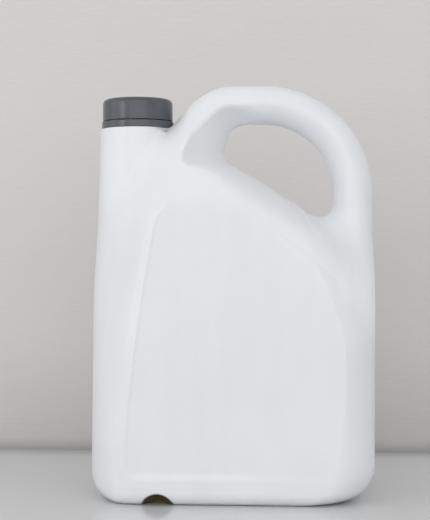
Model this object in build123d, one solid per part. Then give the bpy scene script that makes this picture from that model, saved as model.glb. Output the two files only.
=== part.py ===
from math import cos, radians, sin, sqrt
import os

from build123d import *

# Overall sizes in mm; the origin is at the middle of the base, the front faces -Y
width = 206.0
depth = 126.0
height = 300.0
wall = 1.5
half_width = width / 2
half_depth = depth / 2

# Base edge roundings and the raised middle of the base
base_round_right = 28.0
base_round_left = 18.0
base_round_front = 9.0
push_up = 4.0
push_up_margin = 10.0
notch_inset = 53.5
notch_radius = 11.5
notch_height = 8.0
notch_reach = 15.0
notch_x = -half_width + notch_inset

# Plan of the body: round corners at the handle end, a narrowing nose at the neck end
corner_share = 2 / 9
corner_right = depth * corner_share
corner_grow = depth * corner_share
corner_grow_from = height - 195.0
corner_grow_to = height - 105.0
nose_length = 26.5
crease_foot_x = -half_width + nose_length
crease_foot_z = 40.0
crease_radius = 430.0
nose_lean = 5.0
nose_lean_z = height - 170.0
flank_slope_foot = 0.55
flank_slope_gain = 0.55
flank_run = 130.0
crease_soft = 3.0
flank_lead = 0.43
nose_blunt = 0.7
nose_sharpen = 0.6

# Label panel, set back on both faces
panel_step = 1.5
panel_bottom = 21.0
panel_slope = 1.5
panel_gap = 2.5
panel_corner = 6.0
panel_reach = 22.0

# Neck: a column at the nose that carries the threaded finish
neck_inset = 32.5
neck_x = -half_width + neck_inset
column_radius = 27.5
column_drop = 31.5
column_length = 118.5
column_foot_radius = 32.2
column_edge = 0.8
collar_gap = 0.7
finish_radius = 21.6
finish_height = 18.5
bore_radius = 19.2
bead_radius = 24.0
bead_lift = 3.9
bead_height = 2.0
column_top = height - column_drop
column_foot_z = column_top - column_length
mouth_z = column_top + finish_height
bead_z = column_top + bead_lift

# Upper body: sides curve in, and the shoulder drops away under the handle
side_drop = 33.0
roof_reach = 297.0
roof_drop = 424.0
roof_edge_radius = 390.0
roof_rise = 24.0
pillar_offset = 64.5
pillar_width = 25.0
pillar_inset = 17.0
pillar_cove = 9.0
side_spring = height - side_drop - half_depth
roof_axis_x = half_width - roof_reach
roof_axis_z = height - roof_drop
pillar_x = neck_x + pillar_offset
pillar_reach = half_depth - pillar_inset

# Handle
grip_thick = 28.5
grip_depth = 38.0
bend_left_offset = 70.5
bend_left_radius = 37.7
bend_right_share = 0.3883
limb_inset = 0.3
limb_cove = 16.0
pillar_cove_foot = 6.0
pillar_edge = 3.0
bend_left_x = neck_x + bend_left_offset
bend_right_radius = width * bend_right_share
# The slope widens into the body: distance along, growth of the finger side, growth of the half depth per depth
slope_flare = [(12.0, 1.0, 0.008), (24.0, 3.0, 0.03), (36.0, 7.0, 0.066), (46.0, 11.0, 0.11)]

# The limb widens towards its foot: distance down, growth of the half depth per depth
limb_flare = [(20.0, 0.008), (40.0, 0.055), (60.0, 0.135), (80.0, 0.19), (120.0, 0.2)]

# Cap, liner and tamper band
cap_radius = 25.9
cap_wall = 1.8
cap_roof = 2.0
cap_edge = 2.4
band_radius = 26.6
band_wall = 1.9
band_height = 5.2
band_gap = 0.6
lip_radius = 22.6
lip_height = 1.8
bridge_count = 12
bridge_width = 1.2
liner_gap = 0.4
liner_thick = 1.5
cap_top = mouth_z + liner_thick + cap_roof


def round_inset(level, radius):
    # How far a rounded base edge stands in from the wall at this height above the base
    if level >= radius:
        return 0.0
    return radius - sqrt(radius**2 - (radius - level) ** 2)


def crease_x(level):
    # The nose starts on an arc that leans towards the handle as it rises
    rise = max(0.0, level - crease_foot_z)
    return crease_foot_x + crease_radius - sqrt(crease_radius**2 - rise**2)


def plan_section(level, skin):
    # One closed plan outline: straight front and back, two corners at the right, the nose at the left
    lift = level - skin
    front = half_depth - skin - round_inset(lift, base_round_front - skin)
    right = half_width - skin - round_inset(lift, base_round_right - skin)
    climb = min(1.0, max(0.0, (level - corner_grow_from) / (corner_grow_to - corner_grow_from)))
    corner = corner_right - skin + corner_grow * climb**2 * (3 - 2 * climb)
    part_up = min(1.0, max(0.0, (level - crease_foot_z) / (column_top - crease_foot_z)))
    lean = max(0.0, (level - nose_lean_z) / (column_top - nose_lean_z))
    tip = -half_width + skin + round_inset(lift, base_round_left - skin) + nose_lean * lean**1.5
    start = crease_x(level) + skin * part_up
    turn = min(1.0, max(0.0, (level - crease_foot_z) / flank_run))
    slope = flank_slope_foot + flank_slope_gain * turn**2 * (3 - 2 * turn)
    lead = (start - tip) * flank_lead
    fall = front - slope * lead
    side = front * (nose_blunt - nose_sharpen * part_up)
    back = crease_soft / sqrt(1 + slope**2)
    flat = start + crease_soft
    turn_x = start - back
    turn_y = front - slope * back
    edges = [
        Line((flat, -front), (right - corner, -front)),
        CenterArc((right - corner, -front + corner), corner, -90, 90),
        Line((right, -front + corner), (right, front - corner)),
        CenterArc((right - corner, front - corner), corner, 0, 90),
        Line((right - corner, front), (flat, front)),
        Bezier((flat, front), (start, front), (turn_x, turn_y)),
        Bezier((turn_x, turn_y), (start - lead, fall), (tip, side), (tip, 0)),
        Bezier((tip, 0), (tip, -side), (start - lead, -fall), (turn_x, -turn_y)),
        Bezier((turn_x, -turn_y), (start, -front), (flat, -front)),
    ]
    return Pos(0, 0, level) * make_face(edges)


def body_form(skin):
    turn = [0, 18, 36, 54, 72, 90]
    foot = base_round_right
    low = [skin + (foot - skin) * (1 - cos(radians(a))) for a in turn]
    base = loft([plan_section(z, skin) for z in low])
    step = (column_top + 6 - foot) / 7
    trunk = loft([plan_section(foot + k * step, skin) for k in range(8)])
    return base + trunk


def side_form(skin):
    # Side view: upright walls closed by a half round over the whole depth
    reach = half_depth - skin
    edges = [
        Line((-reach, -1), (reach, -1)),
        Line((reach, -1), (reach, side_spring)),
        CenterArc((0, side_spring), reach, 0, 180),
        Line((-reach, side_spring), (-reach, -1)),
    ]
    profile = Plane.YZ * make_face(edges)
    return extrude(profile, half_width + 10, both=True)


def roof_form(skin):
    # The shoulder under the handle, turned about a far axis so that its edge is a long arc
    reach = half_depth - skin
    rise = roof_rise - skin
    edges = [
        Line((0, -reach), (roof_edge_radius, -reach)),
        EllipticalCenterArc((roof_edge_radius, 0), rise, reach, -90, arc_size=180),
        Line((roof_edge_radius, reach), (0, reach)),
        Line((0, reach), (0, -reach)),
    ]
    return Pos(roof_axis_x, 0, roof_axis_z) * revolve(make_face(edges), Axis.Y)


def pillar_form(skin):
    # Upright mass between neck and finger hole; its sides are coved from the hole's edge to the front rim
    tip = pillar_x - skin
    rim = tip - pillar_width
    mid = (tip - pillar_width / 2 - pillar_cove / 2, pillar_reach / 2 - pillar_cove / 2)
    far = half_depth + 20
    edges = [
        ThreePointArc((tip, 0), mid, (rim, pillar_reach)),
        Polyline((rim, pillar_reach), (rim - 2, far), (-width, far)),
        Line((-width, far), (-width, -far)),
        Polyline((-width, -far), (rim - 2, -far), (rim, -pillar_reach)),
        ThreePointArc((rim, -pillar_reach), (mid[0], -mid[1]), (tip, 0)),
    ]
    mass = extrude(make_face(edges), height)
    prow = mass.edges().filter_by(Axis.Z).sort_by(Axis.X)[-1]
    return fillet(prow, pillar_edge)


def grip_section(place, along, wide, outer, inner):
    # Handle section: round outside, a little pointed on the finger side
    frame = Plane(origin=place, x_dir=(0, 1, 0), z_dir=along)
    edges = [
        Bezier((wide, 0), (wide, 0.55 * outer), (0.55 * wide, outer), (0, outer)),
        Bezier((0, outer), (-0.55 * wide, outer), (-wide, 0.55 * outer), (-wide, 0)),
        Bezier((-wide, 0), (-wide, -0.3 * inner), (-0.4 * wide, -inner), (0, -inner)),
        Bezier((0, -inner), (0.4 * wide, -inner), (wide, -0.3 * inner), (wide, 0)),
    ]
    return frame * make_face(edges)


def limb_place():
    # Upper end of the straight limb, where the wide bend ends
    half = grip_thick / 2
    return (half_width - limb_inset - half, 0, height - bend_right_radius)


def grip_form(skin):
    # Handle: level grip and two bends as one tube, with a widening foot on the slope
    half = grip_thick / 2
    wide = grip_depth / 2 - skin
    tall = half - skin
    left = bend_left_radius - half
    right = bend_right_radius - half
    left_z = height - bend_left_radius
    slant = cos(radians(45))
    p4 = limb_place()
    right_x = p4[0] - right
    p1 = (bend_left_x - left * slant, 0, left_z + left * slant)
    m1 = (bend_left_x - left * sin(radians(22.5)), 0, left_z + left * cos(radians(22.5)))
    p2 = (bend_left_x, 0, height - half)
    p3 = (right_x, 0, height - half)
    m2 = (right_x + right * slant, 0, p4[2] + right * slant)
    path = Wire([ThreePointArc(p1, m1, p2), Line(p2, p3), ThreePointArc(p3, m2, p4)])
    tube = sweep(grip_section(p1, (1, 0, 1), wide, tall, tall), path=path)
    slope = [grip_section(p1, (1, 0, 1), wide, tall, tall)]
    for run, inner, share in slope_flare:
        place = (p1[0] - run * slant, 0, p1[2] - run * slant)
        slope.append(grip_section(place, (1, 0, 1), wide + depth * share, tall, tall + inner))
    return tube + loft(slope)


def shoulder_form(skin):
    # Roof with the handle's limb and the pillar standing on it, both coved at the foot
    half = grip_thick / 2 - skin
    roof = roof_form(skin)
    x, y, z = limb_place()
    limb = [grip_section((x, y, z), (0, 0, -1), grip_depth / 2 - skin, half, half)]
    for drop, share in limb_flare:
        limb.append(grip_section((x, y, z - drop), (0, 0, -1), grip_depth / 2 - skin + depth * share, half, half))
    limb = loft(limb)
    joined = roof + limb
    joined = fillet(new_edges(roof, limb, combined=joined), limb_cove + skin)
    pillar = pillar_form(skin)
    mass = joined + pillar
    foot = new_edges(joined, pillar, combined=mass)
    foot = [e for e in foot if e.center().X > pillar_x - pillar_width - 10]
    foot = [e for e in foot if e.center().Z > side_spring]
    return fillet(foot, pillar_cove_foot + skin)


def column_form(skin):
    # Column under the neck, a little wider towards its foot
    column = Cone(
        column_foot_radius - skin,
        column_radius - skin,
        column_top - skin - column_foot_z,
        align=(Align.CENTER, Align.CENTER, Align.MIN),
    )
    if skin == 0:
        column = fillet(column.edges().sort_by(Axis.Z)[-1], column_edge)
    return Pos(neck_x, 0, column_foot_z) * column


def panel_outline(grow):
    # Label panel: follows the crease on the left, square at the foot, open at the shoulder and the corner
    left = crease_foot_x + panel_gap - grow
    foot = panel_bottom - grow
    corner = panel_corner + grow
    top = side_spring + 40
    span = sqrt(crease_radius**2 - (top - crease_foot_z) ** 2)
    mid = (crease_foot_z + top) / 2
    mid_span = sqrt(crease_radius**2 - (mid - crease_foot_z) ** 2)
    high = (left + crease_radius - span, top)
    halfway = (left + crease_radius - mid_span, mid)
    turn = corner * (1 - cos(radians(45)))
    edges = [
        ThreePointArc(high, halfway, (left, crease_foot_z)),
        Line((left, crease_foot_z), (left, foot + corner)),
        ThreePointArc((left, foot + corner), (left + turn, foot + turn), (left + corner, foot)),
        Line((left + corner, foot), (half_width + 20, foot)),
        Line((half_width + 20, foot), (half_width + 20, top)),
        Line((half_width + 20, top), high),
    ]
    return make_face(edges)


def panel_form(skin):
    # Cutter for both panels: a slightly tapered block outside the side form that stands one step in
    near = half_depth - panel_reach
    lower = Plane.XZ.offset(near) * panel_outline(skin)
    upper = Plane.XZ.offset(half_depth + 2) * panel_outline(skin + panel_slope)
    front = loft([lower, upper])
    return (front + mirror(front, about=Plane.XZ)) - side_form(skin + panel_step)


def base_form(skin):
    # Cutters under the base: the raised middle and the half-round notch in the front edge
    long = width - base_round_left - base_round_right - 2 * push_up_margin + 2 * skin
    deep = depth - 2 * base_round_front - 2 * push_up_margin + 2 * skin
    middle = (base_round_left - base_round_right) / 2
    corner = corner_right - push_up_margin + skin
    rim = Pos(middle, 0, -1) * RectangleRounded(long, deep, corner)
    crown = RectangleRounded(long - 3 * push_up, deep - 3 * push_up, corner - push_up)
    crown = Pos(middle, 0, push_up + skin) * crown
    raised = loft([rim, crown])
    centre = notch_height - notch_radius
    reach = half_depth - notch_reach + notch_radius
    round_end = notch_radius + skin
    bar = Cylinder(round_end, half_depth + 10 - reach, align=(Align.CENTER, Align.CENTER, Align.MIN))
    notch = Pos(notch_x, -reach, centre) * (Rot(90, 0, 0) * bar + Sphere(round_end))
    return raised + notch


def bottle_form(skin):
    body = body_form(skin) & side_form(skin) & shoulder_form(skin)
    body = body + grip_form(skin) + column_form(skin)
    clear = disc(band_radius + collar_gap + skin, column_top - skin, height)
    return body - clear - panel_form(skin) - base_form(skin)


def ring(outer, inner, low, high):
    tall = high - low
    solid = Cylinder(outer, tall, align=(Align.CENTER, Align.CENTER, Align.MIN))
    hole = Cylinder(inner, tall, align=(Align.CENTER, Align.CENTER, Align.MIN))
    return Pos(neck_x, 0, low) * (solid - hole)


def disc(radius, low, high):
    return Pos(neck_x, 0, low) * Cylinder(radius, high - low, align=(Align.CENTER, Align.CENTER, Align.MIN))


os.makedirs("parts", exist_ok=True)

# Bottle: outer form, less the same form one wall smaller, with the neck finish on top
outer = bottle_form(0)
cavity = bottle_form(wall)
finish = disc(finish_radius, column_top - 2 * wall, mouth_z)
finish = finish + disc(bead_radius, bead_z - bead_height / 2, bead_z + bead_height / 2)
bottle = outer - cavity
bottle = bottle + finish - disc(bore_radius, column_top - 3 * wall, mouth_z + 1)
print("bottle", bottle.volume, bottle.is_valid, len(bottle.solids()), bottle.bounding_box())
print("litres", cavity.volume / 1e6)
export_step(bottle, "parts/bottle.step")

# Tamper band: rests on the column, hooked under the bead, with small bridges up to the cap
band_low = column_top
band_high = column_top + band_height
tamper_band = ring(band_radius, band_radius - band_wall, band_low, band_high)
tamper_band = tamper_band + ring(band_radius - band_wall / 2, lip_radius, band_low, band_low + lip_height)
bridge_x = band_radius - band_wall + 0.6
bridge = Pos(bridge_x, 0, band_high - 0.2) * Box(
    0.9, bridge_width, band_gap + 0.2, align=(Align.CENTER, Align.CENTER, Align.MIN)
)
for spoke in PolarLocations(0, bridge_count):
    tamper_band = tamper_band + Pos(neck_x, 0, 0) * spoke * bridge
export_step(tamper_band, "parts/tamper_band.step")

# Screw cap: plain shell with a rounded top edge
cap_low = band_high + band_gap
screw_cap = disc(cap_radius, cap_low, cap_top)
screw_cap = fillet(screw_cap.edges().sort_by(Axis.Z)[-1], cap_edge)
screw_cap = screw_cap - disc(cap_radius - cap_wall, cap_low, cap_top - cap_roof)
export_step(screw_cap, "parts/screw_cap.step")

# Liner: soft disc between the mouth's rim and the cap's roof
cap_liner = disc(cap_radius - cap_wall - liner_gap, mouth_z, cap_top - cap_roof)
export_step(cap_liner, "parts/cap_liner.step")
for name, part in (("band", tamper_band), ("cap", screw_cap), ("liner", cap_liner)):
    print(name, part.volume, part.is_valid, len(part.solids()))
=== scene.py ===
import bpy
import numpy as np
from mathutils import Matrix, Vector


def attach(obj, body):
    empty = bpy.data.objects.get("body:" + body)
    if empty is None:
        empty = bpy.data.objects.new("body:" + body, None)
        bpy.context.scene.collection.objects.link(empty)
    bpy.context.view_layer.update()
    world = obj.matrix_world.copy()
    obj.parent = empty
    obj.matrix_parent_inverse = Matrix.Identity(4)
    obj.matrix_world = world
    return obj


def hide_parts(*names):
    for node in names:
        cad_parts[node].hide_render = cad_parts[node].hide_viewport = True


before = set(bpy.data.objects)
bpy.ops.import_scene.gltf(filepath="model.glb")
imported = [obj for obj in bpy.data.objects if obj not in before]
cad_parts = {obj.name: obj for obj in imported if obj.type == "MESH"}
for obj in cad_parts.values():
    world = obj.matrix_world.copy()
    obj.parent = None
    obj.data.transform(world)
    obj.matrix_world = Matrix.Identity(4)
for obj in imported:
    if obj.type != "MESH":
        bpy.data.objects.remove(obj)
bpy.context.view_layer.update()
mm = 0.001
wellInside = -99  # mm, a term of the field that cuts nothing

# Shapes are worked out in mm, in the frame of the solids: front -Y, base on z = 0.


def roundUnion(a, b, r):  # two forms joined, the valley between them filled to radius r
    return np.maximum(np.minimum(a, b), r) - np.hypot(np.maximum(r - a, 0), np.maximum(r - b, 0))


def roundCut(a, b, r):  # what two forms share, the edge between them rounded to radius r
    return np.minimum(np.maximum(a, b), -r) + np.hypot(np.maximum(r + a, 0), np.maximum(r + b, 0))


def smoothStep(t):
    t = np.clip(t, 0, 1)
    return t * t * (3 - 2 * t)


def ovalField(a, b, sizeA, sizeB, power):  # distance to the oval a^p + b^p = 1, by its own slope
    g = np.maximum((a**power + b**power) ** (1 / power), 1e-6)
    slope = np.hypot((a / g) ** (power - 1) / sizeA, (b / g) ** (power - 1) / sizeB)
    return (g - 1) / (slope + 1e-9)


def baseInset(z, r):  # how far a base edge of radius r stands in at height z
    t = np.clip(r - z, 0, r)
    return r - np.sqrt(r * r - t * t)


trunk = {
    "halfWidth": 103.0,
    "halfDepth": 63.0,
    "baseRight": 28.0,
    "baseLeft": 18.0,
    "baseFront": 9.0,
    "corner": 28.0,
    "cornerGrow": 28.0,
    "cornerFrom": 105.0,
    "cornerRun": 90.0,
    "cornerPower": 1.75,
    "creaseX": -74.5,
    "creaseZ": 40.0,
    "creaseTop": 300.0,
    "creaseLean": 0.07,
    "creaseBend": 0.00041,
    "creaseTurn": 15.0,
    "turnFrom": 195.0,
    "turnRun": 45.0,
    "tipLean": 5.0,
    "leanFrom": 130.0,
    "leanTop": 1.1,
    "leanPower": 1.5,
    "tipUnder": 1.2,
    "underFrom": 145.0,
    "underRun": 50.0,
    "columnTop": 268.5,
    "sideSpring": 204.0,
    "flankFoot": 0.55,
    "flankGain": 0.55,
    "flankRun": 130.0,
    "flankSteps": 3000,
    "lead": 0.43,
    "blunt": 0.7,
    "sharpen": 0.6,
    "creaseSoft": 5.0,
    "cheekSoft": 16.0,
    "cheekFrom": 195.0,
    "cheekRun": 35.0,
}


def sideField(y, z):  # upright sides closed by a half round over the whole depth
    k = trunk
    return np.where(z > k["sideSpring"], np.hypot(y, z - k["sideSpring"]), y) - k["halfDepth"]


def creaseLine(z):  # where the nose starts: a slow curve that leans towards the handle as it rises
    k = trunk
    rise = np.clip(z - k["creaseZ"], 0, k["creaseTop"])
    turn = k["creaseTurn"] * smoothStep((z - k["turnFrom"]) / k["turnRun"])
    return k["creaseX"] + k["creaseLean"] * rise + k["creaseBend"] * rise**2 + turn


def flankReach(share):  # weights of the flank's cubic curve at a share of the way to its tip
    t = np.linspace(0, 1, trunk["flankSteps"])
    along = 3 * trunk["lead"] * (1 - t) ** 2 * t + 3 * (1 - t) * t**2 + t**3
    t = np.interp(share, along, t)
    return (1 - t) ** 3, 3 * (1 - t) ** 2 * t, 3 * (1 - t) * t**2


def trunkField(x, y, z):  # rounded box in plan, a nose with straight flanks on the left, sides over it
    k = trunk
    front = k["halfDepth"] - baseInset(z, k["baseFront"])
    right = k["halfWidth"] - baseInset(z, k["baseRight"])
    corner = k["corner"] + k["cornerGrow"] * smoothStep((z - k["cornerFrom"]) / k["cornerRun"])
    qx = x - right + corner
    qy = y - front + corner
    bow = k["cornerPower"]  # below 2: the corner is flatter in its middle and quicker at its ends
    bulge = (np.maximum(qx, 0) ** bow + np.maximum(qy, 0) ** bow) ** (1 / bow)
    box = np.minimum(np.maximum(qx, qy), 0) + bulge - corner
    start = creaseLine(z)
    partUp = np.clip((z - k["creaseZ"]) / (k["columnTop"] - k["creaseZ"]), 0, 1)
    lean = np.clip((z - k["leanFrom"]) / (k["columnTop"] - k["leanFrom"]), 0, k["leanTop"])
    under = k["tipUnder"] * smoothStep((z - k["underFrom"]) / k["underRun"])  # it ends in the neck's column
    tip = -k["halfWidth"] + baseInset(z, k["baseLeft"]) + k["tipLean"] * lean ** k["leanPower"] + under
    slope = k["flankFoot"] + k["flankGain"] * smoothStep((z - k["creaseZ"]) / k["flankRun"])
    span = start - tip
    share = (start - x) / span
    fall = 1 - slope * k["lead"] * span / front
    blunt = k["blunt"] - k["sharpen"] * partUp

    def flankY(q):
        a, b, c = flankReach(np.clip(q, 0, 1))
        return front * (a + fall * b + blunt * c)

    step = 0.004
    steep = (flankY(share - step) - flankY(share + step)) / (2 * step * span)
    ahead = np.maximum(-share, 0) * span  # right of the crease the flank runs straight on
    flank = (y - flankY(share) - slope * ahead) / np.hypot(1, np.where(share > step, steep, slope))
    nose = np.maximum(flank, tip - x)
    side = np.maximum(sideField(y, z), y - front)
    soften = smoothStep((z - k["cheekFrom"]) / k["cheekRun"])
    soft = k["creaseSoft"] + (k["cheekSoft"] - k["creaseSoft"]) * soften
    return np.maximum(box, roundCut(side, nose, soft))


shoulder = {
    "axisX": -194.0,
    "axisZ": -124.0,
    "edgeRadius": 390.0,
    "rise": 24.0,
    "coveFoot": 9.0,
    "edge": 2.5,
    "edgeGrow": 7.0,
    "edgeFromX": 10.0,
    "edgeRunX": 60.0,
    "ledge": 244.6,
    "ledgeFall": 6.0,
    "ledgeHalf": 50.0,
    "ledgeRound": 5.0,
}


def roofField(x, y, z):  # a half oval turned about a far axis, so its front edge is a long arc
    k = shoulder
    a = np.hypot(x - k["axisX"], z - k["axisZ"]) - k["edgeRadius"]
    half = trunk["halfDepth"]
    q = np.maximum(np.hypot(a / k["rise"], y / half), 1e-6)
    slope = np.hypot(a / k["rise"] ** 2, y / half**2) / q
    roof = np.where(a > 0, (q - 1) / (slope + 1e-9), y - half + a)
    ledge = z - k["ledge"] + k["ledgeFall"] * (y / k["ledgeHalf"]) ** 2  # it levels off beside the pillar
    return roundCut(roof, ledge, k["ledgeRound"])


grip = {
    "half": 14.25,
    "wide": 19.0,
    "leftX": 0.0,
    "leftZ": 262.3,
    "leftRadius": 23.45,
    "rightX": 22.7,
    "rightZ": 220.0,
    "rightRadius": 65.75,
    "slopeRun": 46.0,
    "slopeInner": 11.0,
    "slopeWide": 14.0,
    "slopeSink": 22.0,
    "fingerPower": 1.8,
    "outerPower": 2.0,
    "limbPower": 2.9,
    "limbFlare": 25.0,
    "limbFlareZ": 220.0,
    "limbFlareRun": 80.0,
    "limbFlarePower": 1.7,
    "limbX": 60.0,
    "limbCove": 18.0,
    "limbCoveFrom": 20.0,
    "limbCoveRun": 30.0,
    "limbCoveDrop": 20.0,
    "limbCoveRise": 26.0,
    "limbEnd": 100.0,
    "slopeCove": 3.0,
    "sinkFrom": 28.0,
    "sinkRun": 18.0,
    "webCove": 25.0,
    "webFrom": -48.0,
    "webTo": 25.0,
    "webRun": 20.0,
    "hull": 0.15,
}


def gripOffset(x, z):  # signed offset from the handle's middle line and the distance down its slope
    k = grip
    bend = np.hypot(np.maximum(x - k["rightX"], 0), np.maximum(z - k["rightZ"], 0)) - k["rightRadius"]
    px = k["leftX"] - x
    pz = z - k["leftZ"]
    along = (px - pz) * 0.5**0.5
    left = np.where(along > 0, (px + pz) * 0.5**0.5, np.hypot(px, pz)) - k["leftRadius"]
    onLeft = x < k["leftX"]
    return np.where(onLeft, left, bend), np.where(onLeft, np.maximum(along, 0), 0)


recess = {
    "prowX": -7.4,
    "round": 21.0,
    "soft": 4.0,
    "steep": 1.5,
    "ease": 0.15,
    "easeZ": 250.0,
    "easeRun": 25.0,
    "fadeX": 10.0,
    "fadeRun": 55.0,
    "fade": 30.0,
    "rim": 1.6,
}


def recessField(x, y, z):  # hollow towards the fingers: half depth grows with distance from the hole's edge
    k = recess
    s = gripOffset(x, z)[0]
    left = x - k["prowX"]
    over = -s - grip["half"]
    near = np.maximum(k["round"] - np.abs(left - over), 0) / k["round"]
    inward = k["round"] / 4 * near**2 - np.minimum(left, over)
    steep = k["steep"] - k["ease"] * smoothStep((z - k["easeZ"]) / k["easeRun"])
    soft = np.sqrt(y * y + k["soft"] ** 2) - k["soft"]
    fade = k["fade"] * smoothStep((x - k["fadeX"]) / k["fadeRun"])
    return (soft - steep * inward) / np.hypot(1, steep) - fade


def gripField(x, y, z):  # oval section along that line: round outside, a blunt ridge towards the fingers
    k = grip
    s, run = gripOffset(x, z)
    flare = (run / k["slopeRun"]) ** 2
    down = np.where(x > k["limbX"], smoothStep((k["limbFlareZ"] - z) / k["limbFlareRun"]), 0)
    sink = k["slopeSink"] * smoothStep((run - k["sinkFrom"]) / k["sinkRun"])
    wide = k["wide"] + k["slopeWide"] * flare - sink + k["limbFlare"] * down ** k["limbFlarePower"]
    tall = np.where(s > 0, k["half"], k["half"] + k["slopeInner"] * flare)
    outer = k["outerPower"] + (k["limbPower"] - k["outerPower"]) * down
    power = np.where(s > 0, outer, k["fingerPower"])
    tube = ovalField(np.abs(s) / tall, y / wide, tall, wide, power)
    ends = np.maximum(run - k["slopeRun"], np.where(x > k["limbX"], k["limbEnd"] - z, wellInside))
    return np.maximum(tube, ends)


neck = {
    "x": -70.5,
    "radius": 27.2,
    "foot": 30.6,
    "footZ": 150.0,
    "top": 268.5,
    "edge": 0.8,
    "blend": 2.0,
    "blendFrom": -100.0,
    "blendRun": 20.0,
    "collar": 27.3,
}


def columnField(x, y, z):  # a cone under the neck with a flat top
    k = neck
    r = k["radius"] + (k["foot"] - k["radius"]) * (k["top"] - z) / (k["top"] - k["footZ"])
    cone = np.hypot(x - k["x"], y) - r
    return np.maximum(roundCut(cone, z - k["top"], k["edge"]), k["footZ"] - z)


panel = {
    "step": 1.5,
    "foot": 21.0,
    "gap": 2.5,
    "corner": 6.0,
    "top": 246.0,
    "softness": 6.5,
    "inner": 2.4,
    "lowShare": 0.85,
    "lowX": -25.0,
    "lowRunX": 70.0,
    "lowZ": 75.0,
    "lowRunZ": 50.0,
    "topFrom": 200.0,
    "topRun": 34.0,
}


def panelInset(x, z):  # distance out from the label panel's outline, below 0 on its floor
    k = panel
    rise = np.clip(z - trunk["creaseZ"], 0, trunk["creaseTop"])
    slant = trunk["creaseLean"] + 2 * trunk["creaseBend"] * rise
    left = (creaseLine(z) + k["gap"] - x) / np.hypot(1, slant)
    return np.maximum(roundCut(left, k["foot"] - z, k["corner"]), z - k["top"])


def panelDepth(x, z):  # 0 outside the label panel, 1 on its floor; it runs out at the top and low right
    k = panel
    low = smoothStep((x - k["lowX"]) / k["lowRunX"]) * smoothStep((k["lowZ"] - z) / k["lowRunZ"])
    fade = (1 - k["lowShare"] * low) * (1 - smoothStep((z - k["topFrom"]) / k["topRun"]))
    return fade * smoothStep(1 - (panelInset(x, z) + k["inner"]) / k["softness"])


foot = {
    "pushUp": 4.0,
    "pushX": -5.0,
    "pushHalfX": 70.0,
    "pushHalfY": 44.0,
    "pushCorner": 18.0,
    "pushSlope": 7.0,
    "notchX": -49.5,
    "notchZ": -3.5,
    "notchY": -59.5,
    "notchRadius": 11.5,
    "notchEdge": 1.2,
}


def canField(x, y, z):  # below 0 inside the blown form; every part above is one term of it
    flat = np.abs(y)
    roof = roofField(x, flat, z)
    mass = roundUnion(roof, x - recess["prowX"], shoulder["coveFoot"])
    sides = sideField(flat, z) + panel["step"] * panelDepth(x, z)
    k = shoulder
    edge = k["edge"] + k["edgeGrow"] * smoothStep((x - k["edgeFromX"]) / k["edgeRunX"])
    body = roundCut(np.maximum(trunkField(x, flat, z), sides), mass, edge)
    above = np.hypot(x - k["axisX"], z - k["axisZ"]) - k["edgeRadius"]
    k = grip
    limb = k["limbCove"] * smoothStep((x - k["limbCoveFrom"]) / k["limbCoveRun"])
    limb = limb * smoothStep((above + k["limbCoveDrop"]) / k["limbCoveRise"])
    web = k["webCove"] * smoothStep((x - k["webFrom"]) / k["webRun"])
    web = web * smoothStep((k["webTo"] - x) / k["webRun"])
    form = roundUnion(body, gripField(x, flat, z), k["slopeCove"] + limb + web)
    hollow = roundUnion(roof, recessField(x, flat, z), shoulder["coveFoot"])
    form = roundCut(form, hollow, recess["rim"])
    s = gripOffset(x, z)[0]
    form = np.maximum(form, np.where(x > k["rightX"], s - k["half"] - k["hull"], wellInside))
    join = neck["blend"] * smoothStep((x - neck["blendFrom"]) / neck["blendRun"])  # none at the nose's tip
    form = roundUnion(form, columnField(x, flat, z), np.maximum(join, 0.01))
    fromAxis = np.hypot(x - neck["x"], y)
    form = np.maximum(form, np.minimum(neck["collar"] - fromAxis, z - neck["top"]))
    k = foot
    qx = np.abs(x - k["pushX"]) - k["pushHalfX"] + k["pushCorner"]
    qy = flat - k["pushHalfY"] + k["pushCorner"]
    rim = np.minimum(np.maximum(qx, qy), 0) + np.hypot(np.maximum(qx, 0), np.maximum(qy, 0))
    rim = rim - k["pushCorner"]
    form = np.maximum(form, k["pushUp"] * smoothStep(-rim / k["pushSlope"]) - z)
    inward = np.maximum(y - k["notchY"], 0)
    notch = np.sqrt((x - k["notchX"]) ** 2 + (z - k["notchZ"]) ** 2 + inward**2) - k["notchRadius"]
    return roundCut(form, -notch, k["notchEdge"])


ringGrid = {
    "holeX": 35.0,
    "holeZ": 245.0,
    "around": 430,
    "across": 190,
    "insideAround": 140,
    "insideAcross": 64,
    "wall": 1.5,
    "turnShare": 16.0,
    "edgeShare": 7.0,
    "edgeMiddle": 0.8,
    "edgeWidth": 30.0,
    "neckHole": 21.2,
    "neckHoleZ": 262.0,
    "sweep": 1440,
    "rays": 641,
    "rayReach": 320.0,
    "leastStep": 0.25,
    "rayDepth": 45.0,
    "rayLimit": 3.0,
    "halvings": 32,
    "cutPoints": 361,
    "mostBend": 1.0,
    "edgeFrom": 45.0,
}


def wrapMean(v, n):  # running mean along the first axis of a closed ring
    return sum(np.roll(v, i, 0) for i in range(-n, n + 1)) / (2 * n + 1)


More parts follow.
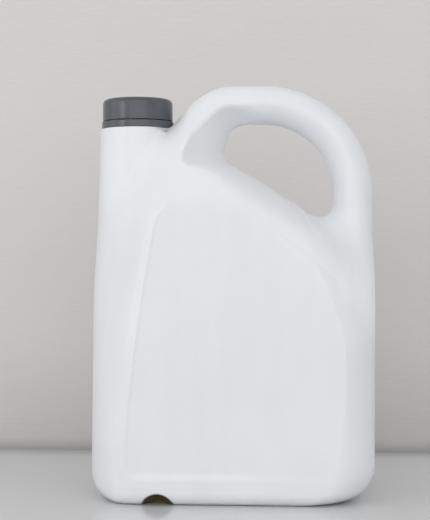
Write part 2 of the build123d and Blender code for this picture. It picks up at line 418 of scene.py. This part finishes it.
def bottleRing(around, across, wall):
    # The form is a ring about the finger hole. u goes round the hole in half planes through its middle
    # line; in each half plane v goes round the cut, and every point lies where the field is -wall on a ray
    # from the middle of the cut. v is spaced by length along the cut plus a share for every turn it takes.
    k = ringGrid
    field = lambda x, y, z: canField(x, y, z) + wall
    u = np.linspace(0, 2 * np.pi, k["sweep"], endpoint=False)[:, None]
    r = np.linspace(0, k["rayReach"], k["rays"])[None, :]
    inside = field(k["holeX"] + r * np.cos(u), 0 * r * u, k["holeZ"] + r * np.sin(u)) < 0
    first = inside.argmax(1)
    last = (~inside & (np.arange(k["rays"])[None, :] > first[:, None])).argmax(1)
    near = wrapMean(r[0, first], 2)
    far = r[0, last]
    step = np.hypot(np.roll(far, -1) - far, far * 2 * np.pi / k["sweep"]) + k["leastStep"]
    run = np.concatenate([[0], np.cumsum(step)])
    turn = np.linspace(0, 2 * np.pi, k["sweep"] + 1)
    u = np.interp(np.linspace(0, run[-1], around, endpoint=False), run, turn)[:, None]
    near = np.interp(u[:, 0], turn, np.append(near, near[0]))[:, None]
    far = np.interp(u[:, 0], turn, np.append(wrapMean(far, 2), far[0]))[:, None]
    middle = (near + far) / 2
    reach = (far - near) / 2

    def cut(v):  # halving along each ray until it stands on the surface
        dr = -reach * np.cos(v)
        dy = -k["rayDepth"] * np.sin(v)
        low = np.zeros_like(v * u)
        high = np.minimum(k["rayLimit"], middle / np.maximum(-dr, 1e-6))
        high = np.broadcast_to(high, low.shape).copy()
        for i in range(k["halvings"]):
            t = (low + high) / 2
            rr = middle + dr * t
            isIn = field(k["holeX"] + rr * np.cos(u), dy * t, k["holeZ"] + rr * np.sin(u)) < 0
            low = np.where(isIn, t, low)
            high = np.where(isIn, high, t)
        return middle + dr * low, dy * low

    v = np.linspace(0, 2 * np.pi, k["cutPoints"])[None, :] + 0 * u
    rr, yy = cut(v)
    dr = np.diff(rr, axis=1)
    dy = np.diff(yy, axis=1)
    length = np.hypot(dr, dy)
    heading = np.unwrap(np.arctan2(dy, dr), axis=1)
    whole = 2 * np.pi * np.sign(heading[:, -1:] - heading[:, :1])
    bend = np.abs(np.diff(heading, axis=1, append=heading[:, :1] + whole))
    bend = np.minimum(bend, k["mostBend"])
    inset = panelInset(k["holeX"] + rr * np.cos(u), k["holeZ"] + rr * np.sin(u))
    edge = np.exp(-((inset - k["edgeMiddle"]) ** 2) / k["edgeWidth"])
    edge = np.where(np.abs(yy) > k["edgeFrom"], edge, 0)[:, :-1]  # only on the front and the back
    density = length * (1 + k["edgeShare"] * edge) + k["turnShare"] * (bend + np.roll(bend, 1, 1)) / 2
    density = wrapMean(density.T, 2).T
    density = wrapMean(density, 3)
    run = np.concatenate([np.zeros((around, 1)), np.cumsum(density, axis=1)], axis=1)
    run = run / run[:, -1:]
    row = np.arange(around)[:, None] * 2.0
    aim = np.linspace(0, 1, across, endpoint=False)[None, :] + row
    v = np.interp(aim.ravel(), (run + row).ravel(), v.ravel()).reshape(around, across)
    rr, yy = cut(v)
    return np.stack([k["holeX"] + rr * np.cos(u), yy, k["holeZ"] + rr * np.sin(u)], axis=2)


def gridFaces(n, m, offset=0, flip=False, closeN=True, closeM=True):  # quads of an n by m grid
    i = np.arange(n if closeN else n - 1)[:, None]
    j = np.arange(m if closeM else m - 1)[None, :]
    a = i * m + j
    b = i * m + (j + 1) % m
    c = ((i + 1) % n) * m + (j + 1) % m
    d = ((i + 1) % n) * m + j
    quad = np.stack([a, b, c, d] if not flip else [a, d, c, b], axis=2).reshape(-1, 4)
    return quad + offset


def makePiece(name, points, faces, body, material, normals=None):
    mesh = bpy.data.meshes.new(name)
    used = np.unique(faces)
    place = np.zeros(len(points), dtype=np.int64)
    place[used] = np.arange(len(used))
    faces = place[faces].astype(np.int32)
    points = points[used] * mm
    mesh.vertices.add(len(points))
    mesh.vertices.foreach_set("co", points.astype(np.float32).ravel())
    mesh.loops.add(faces.size)
    mesh.loops.foreach_set("vertex_index", faces.ravel())
    mesh.polygons.add(len(faces))
    mesh.polygons.foreach_set("loop_start", np.arange(0, faces.size, 4, dtype=np.int32))
    mesh.update(calc_edges=True)
    mesh.validate()
    mesh.polygons.foreach_set("use_smooth", np.ones(len(mesh.polygons), dtype=bool))
    if normals is not None:
        mesh.normals_split_custom_set_from_vertices(normals[used].tolist())
    mesh.update()
    mesh.materials.append(material)
    piece = bpy.data.objects.new(name, mesh)
    bpy.context.scene.collection.objects.link(piece)
    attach(piece, body)
    return piece


def fieldNormals(p, wall):  # direction in which the field grows
    h = 0.25
    x, y, z = p[:, 0], p[:, 1], p[:, 2]
    n = np.stack(
        [
            canField(x + h, y, z) - canField(x - h, y, z),
            canField(x, y + h, z) - canField(x, y - h, z),
            canField(x, y, z + h) - canField(x, y, z - h),
        ],
        axis=1,
    )
    n = n / np.maximum(np.linalg.norm(n, axis=1, keepdims=True), 1e-9)
    return n if wall == 0 else -n


# Materials: one class wraps a socket, so that shader sums read as Python.


class Wire:
    def __init__(self, tree, socket):
        self.tree = tree
        self.socket = socket

    def node(self, kind, outName=None, settings=None, **inputs):
        made = self.tree.nodes.new(kind)
        for key, value in (settings or {}).items():
            setattr(made, key, value)
        for key, value in inputs.items():
            byNumber = key.startswith("in") and key[2:].isdigit()
            target = made.inputs[int(key[2:]) if byNumber else key.replace("_", " ")]
            if isinstance(value, Wire):
                self.tree.links.new(value.socket, target)
            else:
                target.default_value = value
        out = made.outputs[outName] if outName is not None else made.outputs[0]
        return Wire(self.tree, out)

    def sum(self, operation, a, b=0.0):
        return self.node("ShaderNodeMath", settings={"operation": operation}, in0=a, in1=b)

    def __add__(self, b):
        return self.sum("ADD", self, b)

    def __radd__(self, b):
        return self.sum("ADD", b, self)

    def __sub__(self, b):
        return self.sum("SUBTRACT", self, b)

    def __rsub__(self, b):
        return self.sum("SUBTRACT", b, self)

    def __mul__(self, b):
        return self.sum("MULTIPLY", self, b)

    def __rmul__(self, b):
        return self.sum("MULTIPLY", b, self)

    def __pow__(self, b):
        return self.sum("POWER", self, b)

    def __abs__(self):
        return self.sum("ABSOLUTE", self)

    def step(self, low, high):  # 0 at low, 1 at high, eased between
        ease = {"interpolation_type": "SMOOTHSTEP"}
        return self.node("ShaderNodeMapRange", None, ease, Value=self, in1=low, in2=high, in3=0.0, in4=1.0)

    def noise(self, scale, detail=2.0, roughness=0.5):
        return self.node("ShaderNodeTexNoise", Vector=self, Scale=scale, Detail=detail, Roughness=roughness)


def newFinish(name):
    made = bpy.data.materials.new(name)
    made.use_nodes = True
    tree = made.node_tree
    shader = tree.nodes["Principled BSDF"]
    place = Wire(tree, None).node("ShaderNodeTexCoord", "Object")
    return made, tree, shader, place


def splitPlace(place):
    parts = place.node("ShaderNodeSeparateXYZ", Vector=place).socket.node
    return [Wire(place.tree, out) for out in parts.outputs]


def mixColour(factor, a, b):  # a Mix node's colour sockets are its inputs 6 and 7 and its output 2
    return factor.node("ShaderNodeMix", 2, {"data_type": "RGBA"}, in0=factor, in6=a, in7=b)


def feed(tree, shader, **sockets):
    for key, value in sockets.items():
        tree.links.new(value.socket, shader.inputs[key.replace("_", " ")])


milkPlastic = {
    "colour": (0.80, 0.815, 0.84, 1),
    "shade": (0.765, 0.785, 0.81, 1),
    "roughness": 0.36,
    "grain": 1500.0,
    "bump": 0.00004,
    "notchShade": (0.115, 0.09, 0.03, 1),
    "notchShadeDepth": -0.044,
    "ior": 1.5,
    "subsurface": 0.12,
    "subsurfaceRadius": (1.0, 0.95, 0.9),
    "subsurfaceScale": 0.004,
}


def makeMilkPlastic():  # blown white plastic: soft flow clouds, fine mould grain, the mould's parting line
    k = milkPlastic
    made, tree, shader, place = newFinish("milk_plastic")
    x, y, z = splitPlace(place)
    clouds = place.noise(14.0, 3.0, 0.55)
    flow = place.node("ShaderNodeMapping", Vector=place, Scale=(1.0, 1.0, 0.16)).noise(70.0, 3.0, 0.5)
    tone = (clouds * 0.6 + flow * 0.4).step(0.34, 0.68)
    grain = place.noise(k["grain"], 2.0, 0.6)
    wave = place.noise(32.0, 1.0, 0.4)
    parting = 1 - abs(y).step(0.00012, 0.00055)
    rough = k["roughness"] + 0.05 * (clouds - 0.5) + 0.05 * (grain - 0.5)
    height = 0.35 * grain + 2.2 * wave + 2.4 * parting
    bump = place.node("ShaderNodeBump", Height=height, Strength=1.0, Distance=k["bump"])
    # painted shade: the inside of the base notch is painted a dark brown, standing in for the shade that
    # falls in the recess
    fromNotch = ((x - foot["notchX"] * mm) ** 2 + (z - foot["notchZ"] * mm) ** 2) ** 0.5
    notchEdge = foot["notchRadius"] * mm
    inNotch = 1 - fromNotch.step(notchEdge - 0.0004, notchEdge + 0.0012)
    shadedNotch = inNotch * (1 - y.step(k["notchShadeDepth"] - 0.006, k["notchShadeDepth"]))
    clean = mixColour(tone, k["shade"], k["colour"])
    feed(tree, shader, Base_Color=mixColour(shadedNotch, clean, k["notchShade"]), Roughness=rough, Normal=bump)
    shader.inputs["IOR"].default_value = k["ior"]
    shader.inputs["Subsurface Weight"].default_value = k["subsurface"]
    shader.inputs["Subsurface Radius"].default_value = k["subsurfaceRadius"]
    shader.inputs["Subsurface Scale"].default_value = k["subsurfaceScale"]
    return made


capPlastic = {
    "colour": (0.062, 0.069, 0.081, 1),
    "pale": (0.078, 0.086, 0.1, 1),
    "roughness": 0.22,
    "grain": 2600.0,
    "bump": 0.00003,
    "ior": 1.49,
}


def makeCapPlastic():  # dark grey cap: satin, a trace of flow marks, fine grain
    k = capPlastic
    made, tree, shader, place = newFinish("cap_plastic")
    clouds = place.noise(60.0, 3.0, 0.55)
    grain = place.noise(k["grain"], 2.0, 0.6)
    rough = k["roughness"] + 0.08 * (clouds - 0.5) + 0.06 * (grain - 0.5)
    bump = place.node("ShaderNodeBump", Height=grain + 3.0 * clouds, Strength=1.0, Distance=k["bump"])
    tone = mixColour(clouds.step(0.3, 0.7), k["colour"], k["pale"])
    feed(tree, shader, Base_Color=tone, Roughness=rough, Normal=bump)
    shader.inputs["IOR"].default_value = k["ior"]
    return made


linerFoam = {
    "colour": (0.78, 0.77, 0.73, 1),
    "shade": (0.66, 0.65, 0.61, 1),
    "cells": 900.0,
    "roughness": 0.75,
    "bump": 0.0001,
}


def makeLinerFoam():  # pale closed-cell foam with small pits
    k = linerFoam
    made, tree, shader, place = newFinish("liner_foam")
    cells = place.node("ShaderNodeTexVoronoi", Vector=place, Scale=k["cells"])
    bump = place.node("ShaderNodeBump", Height=cells, Strength=1.0, Distance=k["bump"])
    tone = mixColour(cells.step(0.1, 0.6), k["shade"], k["colour"])
    feed(tree, shader, Base_Color=tone, Roughness=k["roughness"] + 0.1 * cells, Normal=bump)
    return made


milk = makeMilkPlastic()
grey = makeCapPlastic()
foam = makeLinerFoam()
print("materials ready")

# Bottle: outer skin, inner skin, neck finish with its thread.


def bottleBody():
    k = ringGrid
    outer = bottleRing(k["around"], k["across"], 0.0).reshape(-1, 3)
    inner = bottleRing(k["insideAround"], k["insideAcross"], k["wall"]).reshape(-1, 3)
    faces = gridFaces(k["around"], k["across"])
    within = gridFaces(k["insideAround"], k["insideAcross"], len(outer), flip=True)
    points = np.concatenate([outer, inner])
    normals = np.concatenate([fieldNormals(outer, 0.0), fieldNormals(inner, k["wall"])])
    faces = np.concatenate([faces, within])
    corner = points[faces]
    inBore = np.hypot(corner[:, :, 0] - neck["x"], corner[:, :, 1]).max(1) < k["neckHole"]
    faces = faces[~(inBore & (corner[:, :, 2].min(1) > k["neckHoleZ"]))]  # the neck stands over this hole
    return makePiece("bottle_body", points, faces, "can", milk, normals)


body = bottleBody()
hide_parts("bottle")
print("bottle skin", len(body.data.polygons))


def softCorners(points, steps=5):
    # a polygon (r, z, corner radius) with each corner replaced by a quadratic curve
    p = np.array(points, dtype=float)
    before = np.roll(p, 1, 0)
    after = np.roll(p, -1, 0)
    t = np.linspace(0, 1, steps)[None, :, None]

    def toward(q):
        d = q[:, :2] - p[:, :2]
        size = np.linalg.norm(d, axis=1, keepdims=True)
        return p[:, :2] + d / size * np.minimum(p[:, 2:3], size * 0.48)

    a = toward(before)[:, None, :]
    b = p[:, None, :2]
    c = toward(after)[:, None, :]
    line = (1 - t) ** 2 * a + 2 * t * (1 - t) * b + t**2 * c
    return line.reshape(-1, 2)


def turned(profile, count, centreX):  # a closed profile (r, z) carried round an upright axis
    a = np.linspace(0, 2 * np.pi, count, endpoint=False)[:, None]
    r = profile[None, :, 0]
    z = profile[None, :, 1] + 0 * a
    return np.stack([centreX + r * np.cos(a), r * np.sin(a), z], axis=2).reshape(-1, 3)


finish = {
    "count": 128,
    "profile": [
        (19.2, 265.2, 0.5),
        (21.6, 265.2, 0.3),
        (21.6, 271.4, 0.5),
        (24.0, 271.5, 0.6),
        (24.0, 273.3, 0.6),
        (21.6, 274.4, 0.6),
        (21.6, 287.0, 0.9),
        (19.2, 287.0, 0.9),
    ],
    "thread": {
        "radius": 21.6,
        "out": 1.8,
        "half": 1.7,
        "low": 276.2,
        "pitch": 6.0,
        "turns": 1.45,
        "start": 0.6,
    },
}

threadShape = {"grid": (180, 13), "runOut": 0.08, "flank": 0.55, "sink": 0.25}


def threadRidge(radius, out, half, low, pitch, turns, start, inward=False):
    # u runs along the helix z = low + pitch * turns * u, v across the ridge; height falls to 0 at both ends
    k = threadShape
    u = np.linspace(0, 1, k["grid"][0])[:, None]
    v = np.linspace(-1, 1, k["grid"][1])[None, :]
    lift = smoothStep(u / k["runOut"]) * smoothStep((1 - u) / k["runOut"])
    shape = smoothStep((1 - np.abs(v)) / k["flank"])
    r = radius + (-1 if inward else 1) * (out * lift * shape - k["sink"])
    a = start + 2 * np.pi * turns * u
    z = low + pitch * turns * u + half * v
    return np.stack([neck["x"] + r * np.cos(a), r * np.sin(a), z + 0 * v], axis=2).reshape(-1, 3)


def bottleNeck():
    k = finish
    ring = turned(softCorners(k["profile"]), k["count"], neck["x"])
    thread = threadRidge(**k["thread"])
    faces = gridFaces(k["count"], len(ring) // k["count"])
    ridge = gridFaces(*threadShape["grid"], len(ring), closeN=False, closeM=False)
    points = np.concatenate([ring, thread])
    return makePiece("bottle_neck", points, np.concatenate([faces, ridge]), "can", milk)


bottleNeck()
print("neck ready")

# Closure: cap and band.

cap = {
    "count": 160,
    "profile": [
        (24.1, 274.3, 0.3),
        (25.9, 274.3, 0.5),
        (25.9, 290.5, 4.2),
        (0.05, 290.5, 0.0),
        (0.05, 288.5, 0.0),
        (24.1, 288.5, 0.6),
    ],
    "thread": {
        "radius": 24.1,
        "out": 1.6,
        "half": 1.3,
        "low": 276.0,
        "pitch": 6.0,
        "turns": 1.4,
        "start": 0.6 + np.pi,
    },
}


def screwCap():
    k = cap
    shell = turned(softCorners(k["profile"], steps=7), k["count"], neck["x"])
    thread = threadRidge(**k["thread"], inward=True)
    faces = gridFaces(k["count"], len(shell) // k["count"])
    ridge = gridFaces(*threadShape["grid"], len(shell), flip=True, closeN=False, closeM=False)
    points = np.concatenate([shell, thread])
    piece = makePiece("cap_shell", points, np.concatenate([faces, ridge]), "cap", grey)
    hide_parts("screw_cap")


screwCap()

band = {
    "count": 160,
    "profile": [
        (22.6, 268.55, 0.3),
        (26.6, 268.55, 0.4),
        (26.6, 273.7, 0.6),
        (24.7, 273.7, 0.4),
        (24.7, 270.3, 0.3),
        (22.6, 270.3, 0.4),
    ],
    "bridges": 12,
    "bridgeCount": 720,
    "bridgeMiddle": 25.2,
    "bridgeHalf": 0.75,
    "bridgeEase": 0.25,
    "bridgeIn": 24.85,
    "bridgeOut": 25.75,
    "bridgeFoot": 273.0,
    "bridgeLow": 273.3,
    "bridgeRise": 1.0,
}


def tamperBand():
    # the ring is turned; its bridges are a low wall whose top is lifted in narrow pulses round the circle
    k = band
    ring = turned(softCorners(k["profile"]), k["count"], neck["x"])
    a = np.linspace(0, 2 * np.pi, k["bridgeCount"], endpoint=False)[:, None]
    near = np.abs((a * k["bridges"] / (2 * np.pi) + 0.5) % 1 - 0.5) * 2 * np.pi / k["bridges"]
    near = near * k["bridgeMiddle"]  # mm along the middle of the band's wall
    pulse = smoothStep((k["bridgeHalf"] - near) / k["bridgeEase"])
    r = np.array([k["bridgeIn"], k["bridgeIn"], k["bridgeOut"], k["bridgeOut"]])[None, :] + 0 * a
    isTop = np.array([0, 1, 1, 0])[None, :] > 0
    z = np.where(isTop, k["bridgeLow"] + k["bridgeRise"] * pulse, k["bridgeFoot"])
    wall = np.stack([neck["x"] + r * np.cos(a), r * np.sin(a), z], axis=2).reshape(-1, 3)
    faces = gridFaces(k["count"], len(ring) // k["count"])
    bridge = gridFaces(k["bridgeCount"], 4, len(ring), closeM=False)
    points = np.concatenate([ring, wall])
    piece = makePiece("band_ring", points, np.concatenate([faces, bridge]), "can", grey)
    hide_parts("tamper_band")


tamperBand()

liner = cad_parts["cap_liner"]
liner.data.materials.clear()
liner.data.materials.append(foam)
print("closure ready")

# Stage: pale floor and wall, soft light, the photograph's camera.

stage = {
    "wallY": 0.222,
    "reach": 3.0,
    "wall": (0.655, 0.638, 0.621, 1),
    "wallRoughness": 0.75,
    "floor": (0.69, 0.69, 0.70, 1),
    "floorRoughness": 0.17,
    "dark": (0, 0, 0, 1),
    "lightPatchX": 0.03,
    "lightPatchZ": 0.25,
    "lightPatchReach": 0.012,
}


def stageSheet(name, corners, material):
    mesh = bpy.data.meshes.new(name)
    mesh.from_pydata(corners, [], [(0, 1, 2, 3)])
    mesh.materials.append(material)
    sheet = bpy.data.objects.new(name, mesh)
    bpy.context.scene.collection.objects.link(sheet)


def wallPaint():  # pale plaster with a faint level weave, darker in its last few centimetres
    made, tree, shader, place = newFinish("wall_paint")
    x, _, z = splitPlace(place)
    weave = place.node("ShaderNodeMapping", Vector=place, Scale=(0.3, 1.0, 1.6)).noise(260.0, 4.0, 0.6)
    patch = place.noise(9.0, 2.0, 0.5)
    # painted shade: the wall is painted darker towards the floor and in a thin dark line at its foot, where
    # shade falls in the corner
    low = 0.84 + 0.16 * z.step(-0.01, 0.12)
    line = 0.62 + 0.38 * z.step(-0.004, 0.013)
    # painted light: a paler pool on the wall behind the finger hole, in place of the can's shadow there
    fromHole = (x - stage["lightPatchX"]) ** 2 + (z - stage["lightPatchZ"]) ** 2
    paintedLightPatch = 1 - fromHole.step(0.0, stage["lightPatchReach"])  # a paler patch, seen through the handle
    shade = low * line * (0.955 + 0.06 * weave + 0.03 * patch + 0.13 * paintedLightPatch)
    bump = place.node("ShaderNodeBump", Height=weave, Strength=1.0, Distance=0.00025)
    feed(tree, shader, Base_Color=mixColour(shade, stage["dark"], stage["wall"]), Normal=bump)
    shader.inputs["Roughness"].default_value = stage["wallRoughness"]
    back = place.node("ShaderNodeNewGeometry", "Backfacing")  # seen from behind, the wall is clear
    clear = place.node("ShaderNodeBsdfTransparent")
    both = place.node("ShaderNodeMixShader", in0=back, in1=Wire(tree, shader.outputs[0]), in2=clear)
    tree.links.new(both.socket, tree.nodes["Material Output"].inputs[0])
    return made


def floorPaint(wallY):  # pale glossy board, darker along the wall and a little paler to the right
    made, tree, shader, place = newFinish("floor_paint")
    x, y, _ = splitPlace(place)
    patch = place.noise(14.0, 3.0, 0.55)
    # painted shade: the floor is painted darker along the foot of the wall
    paintedWallShade = 0.70 + 0.30 * (wallY - y).step(-0.012, 0.05)
    # painted light: the floor is painted a little paler to the right, standing in for brighter light
    # reflected there
    shade = paintedWallShade * (0.93 + 0.05 * patch + 0.11 * x.step(-0.05, 0.2))
    feed(tree, shader, Base_Color=mixColour(shade, stage["dark"], stage["floor"]))
    shader.inputs["Roughness"].default_value = stage["floorRoughness"]
    return made


far = stage["reach"]
wallY = stage["wallY"]
stageSheet("floor", [(-far, -far, 0), (far, -far, 0), (far, far, 0), (-far, far, 0)], floorPaint(wallY))
stageSheet("wall", [(-far, wallY, 0), (far, wallY, 0), (far, wallY, far), (-far, wallY, far)], wallPaint())

lampColour = (1, 0.998, 0.992)
lamps = {
    "front": {"place": (0.3, -2.3, 0.5), "aim": (0, 0, 0.15), "size": (2.6, 2.0), "power": 12.6},
    "left": {"place": (-1.6, -0.7, 0.5), "aim": (0, 0, 0.15), "size": (1.6, 1.4), "power": 3.0},
    "strip": {"place": (-1.42, -1.45, 0.4), "aim": (0, 0, 0.2), "size": (0.2, 1.2), "power": 3.4},
}


def areaLight(name, place, aim, size, power):
    lamp = bpy.data.lights.new(name, "AREA")
    lamp.shape = "RECTANGLE"
    lamp.size, lamp.size_y = size
    lamp.energy = power
    lamp.color = lampColour
    made = bpy.data.objects.new(name, lamp)
    made.location = place
    toward = np.array(aim) - np.array(place)
    made.rotation_euler = Vector(toward).to_track_quat("-Z", "Y").to_euler()
    bpy.context.scene.collection.objects.link(made)


for name, lamp in lamps.items():
    areaLight(name, **lamp)

softRoom = {"colour": (0.985, 0.99, 1.0, 1), "level": 1.02, "overhead": 0.22}

world = bpy.data.worlds.new("soft_room")
bpy.context.scene.world = world
world.use_nodes = True
room = world.node_tree.nodes["Background"]
room.inputs["Color"].default_value = softRoom["colour"]
look = Wire(world.node_tree, None).node("ShaderNodeTexCoord", "Generated")  # the direction looked in
glow = softRoom["level"] - softRoom["overhead"] * splitPlace(look)[2].step(0.0, 0.9)  # darker overhead
world.node_tree.links.new(glow.socket, room.inputs["Strength"])
bpy.context.scene.view_settings.view_transform = "Standard"

eye = {
    "focal": 1400.0,  # in pixels of the photograph
    "imageHeight": 520.0,
    "sensor": 36.0,
    "turn": 4.0,
    "distance": 1.035,
    "side": -0.01305,
    "height": 0.1717,
}


def photoCamera():
    k = eye
    lens = bpy.data.cameras.new("photo_camera")
    lens.sensor_fit = "VERTICAL"
    lens.sensor_height = k["sensor"]
    lens.lens = k["focal"] / k["imageHeight"] * k["sensor"]
    lens.clip_start = 0.01
    made = bpy.data.objects.new("photo_camera", lens)
    a = np.radians(k["turn"])
    right = np.array([np.cos(a), np.sin(a), 0])
    back = np.array([np.sin(a), -np.cos(a), 0])
    made.location = back * k["distance"] + right * k["side"] + np.array([0, 0, k["height"]])
    made.rotation_euler = (np.pi / 2, 0, a)
    bpy.context.scene.collection.objects.link(made)
    bpy.context.scene.camera = made


photoCamera()
print("stage ready")
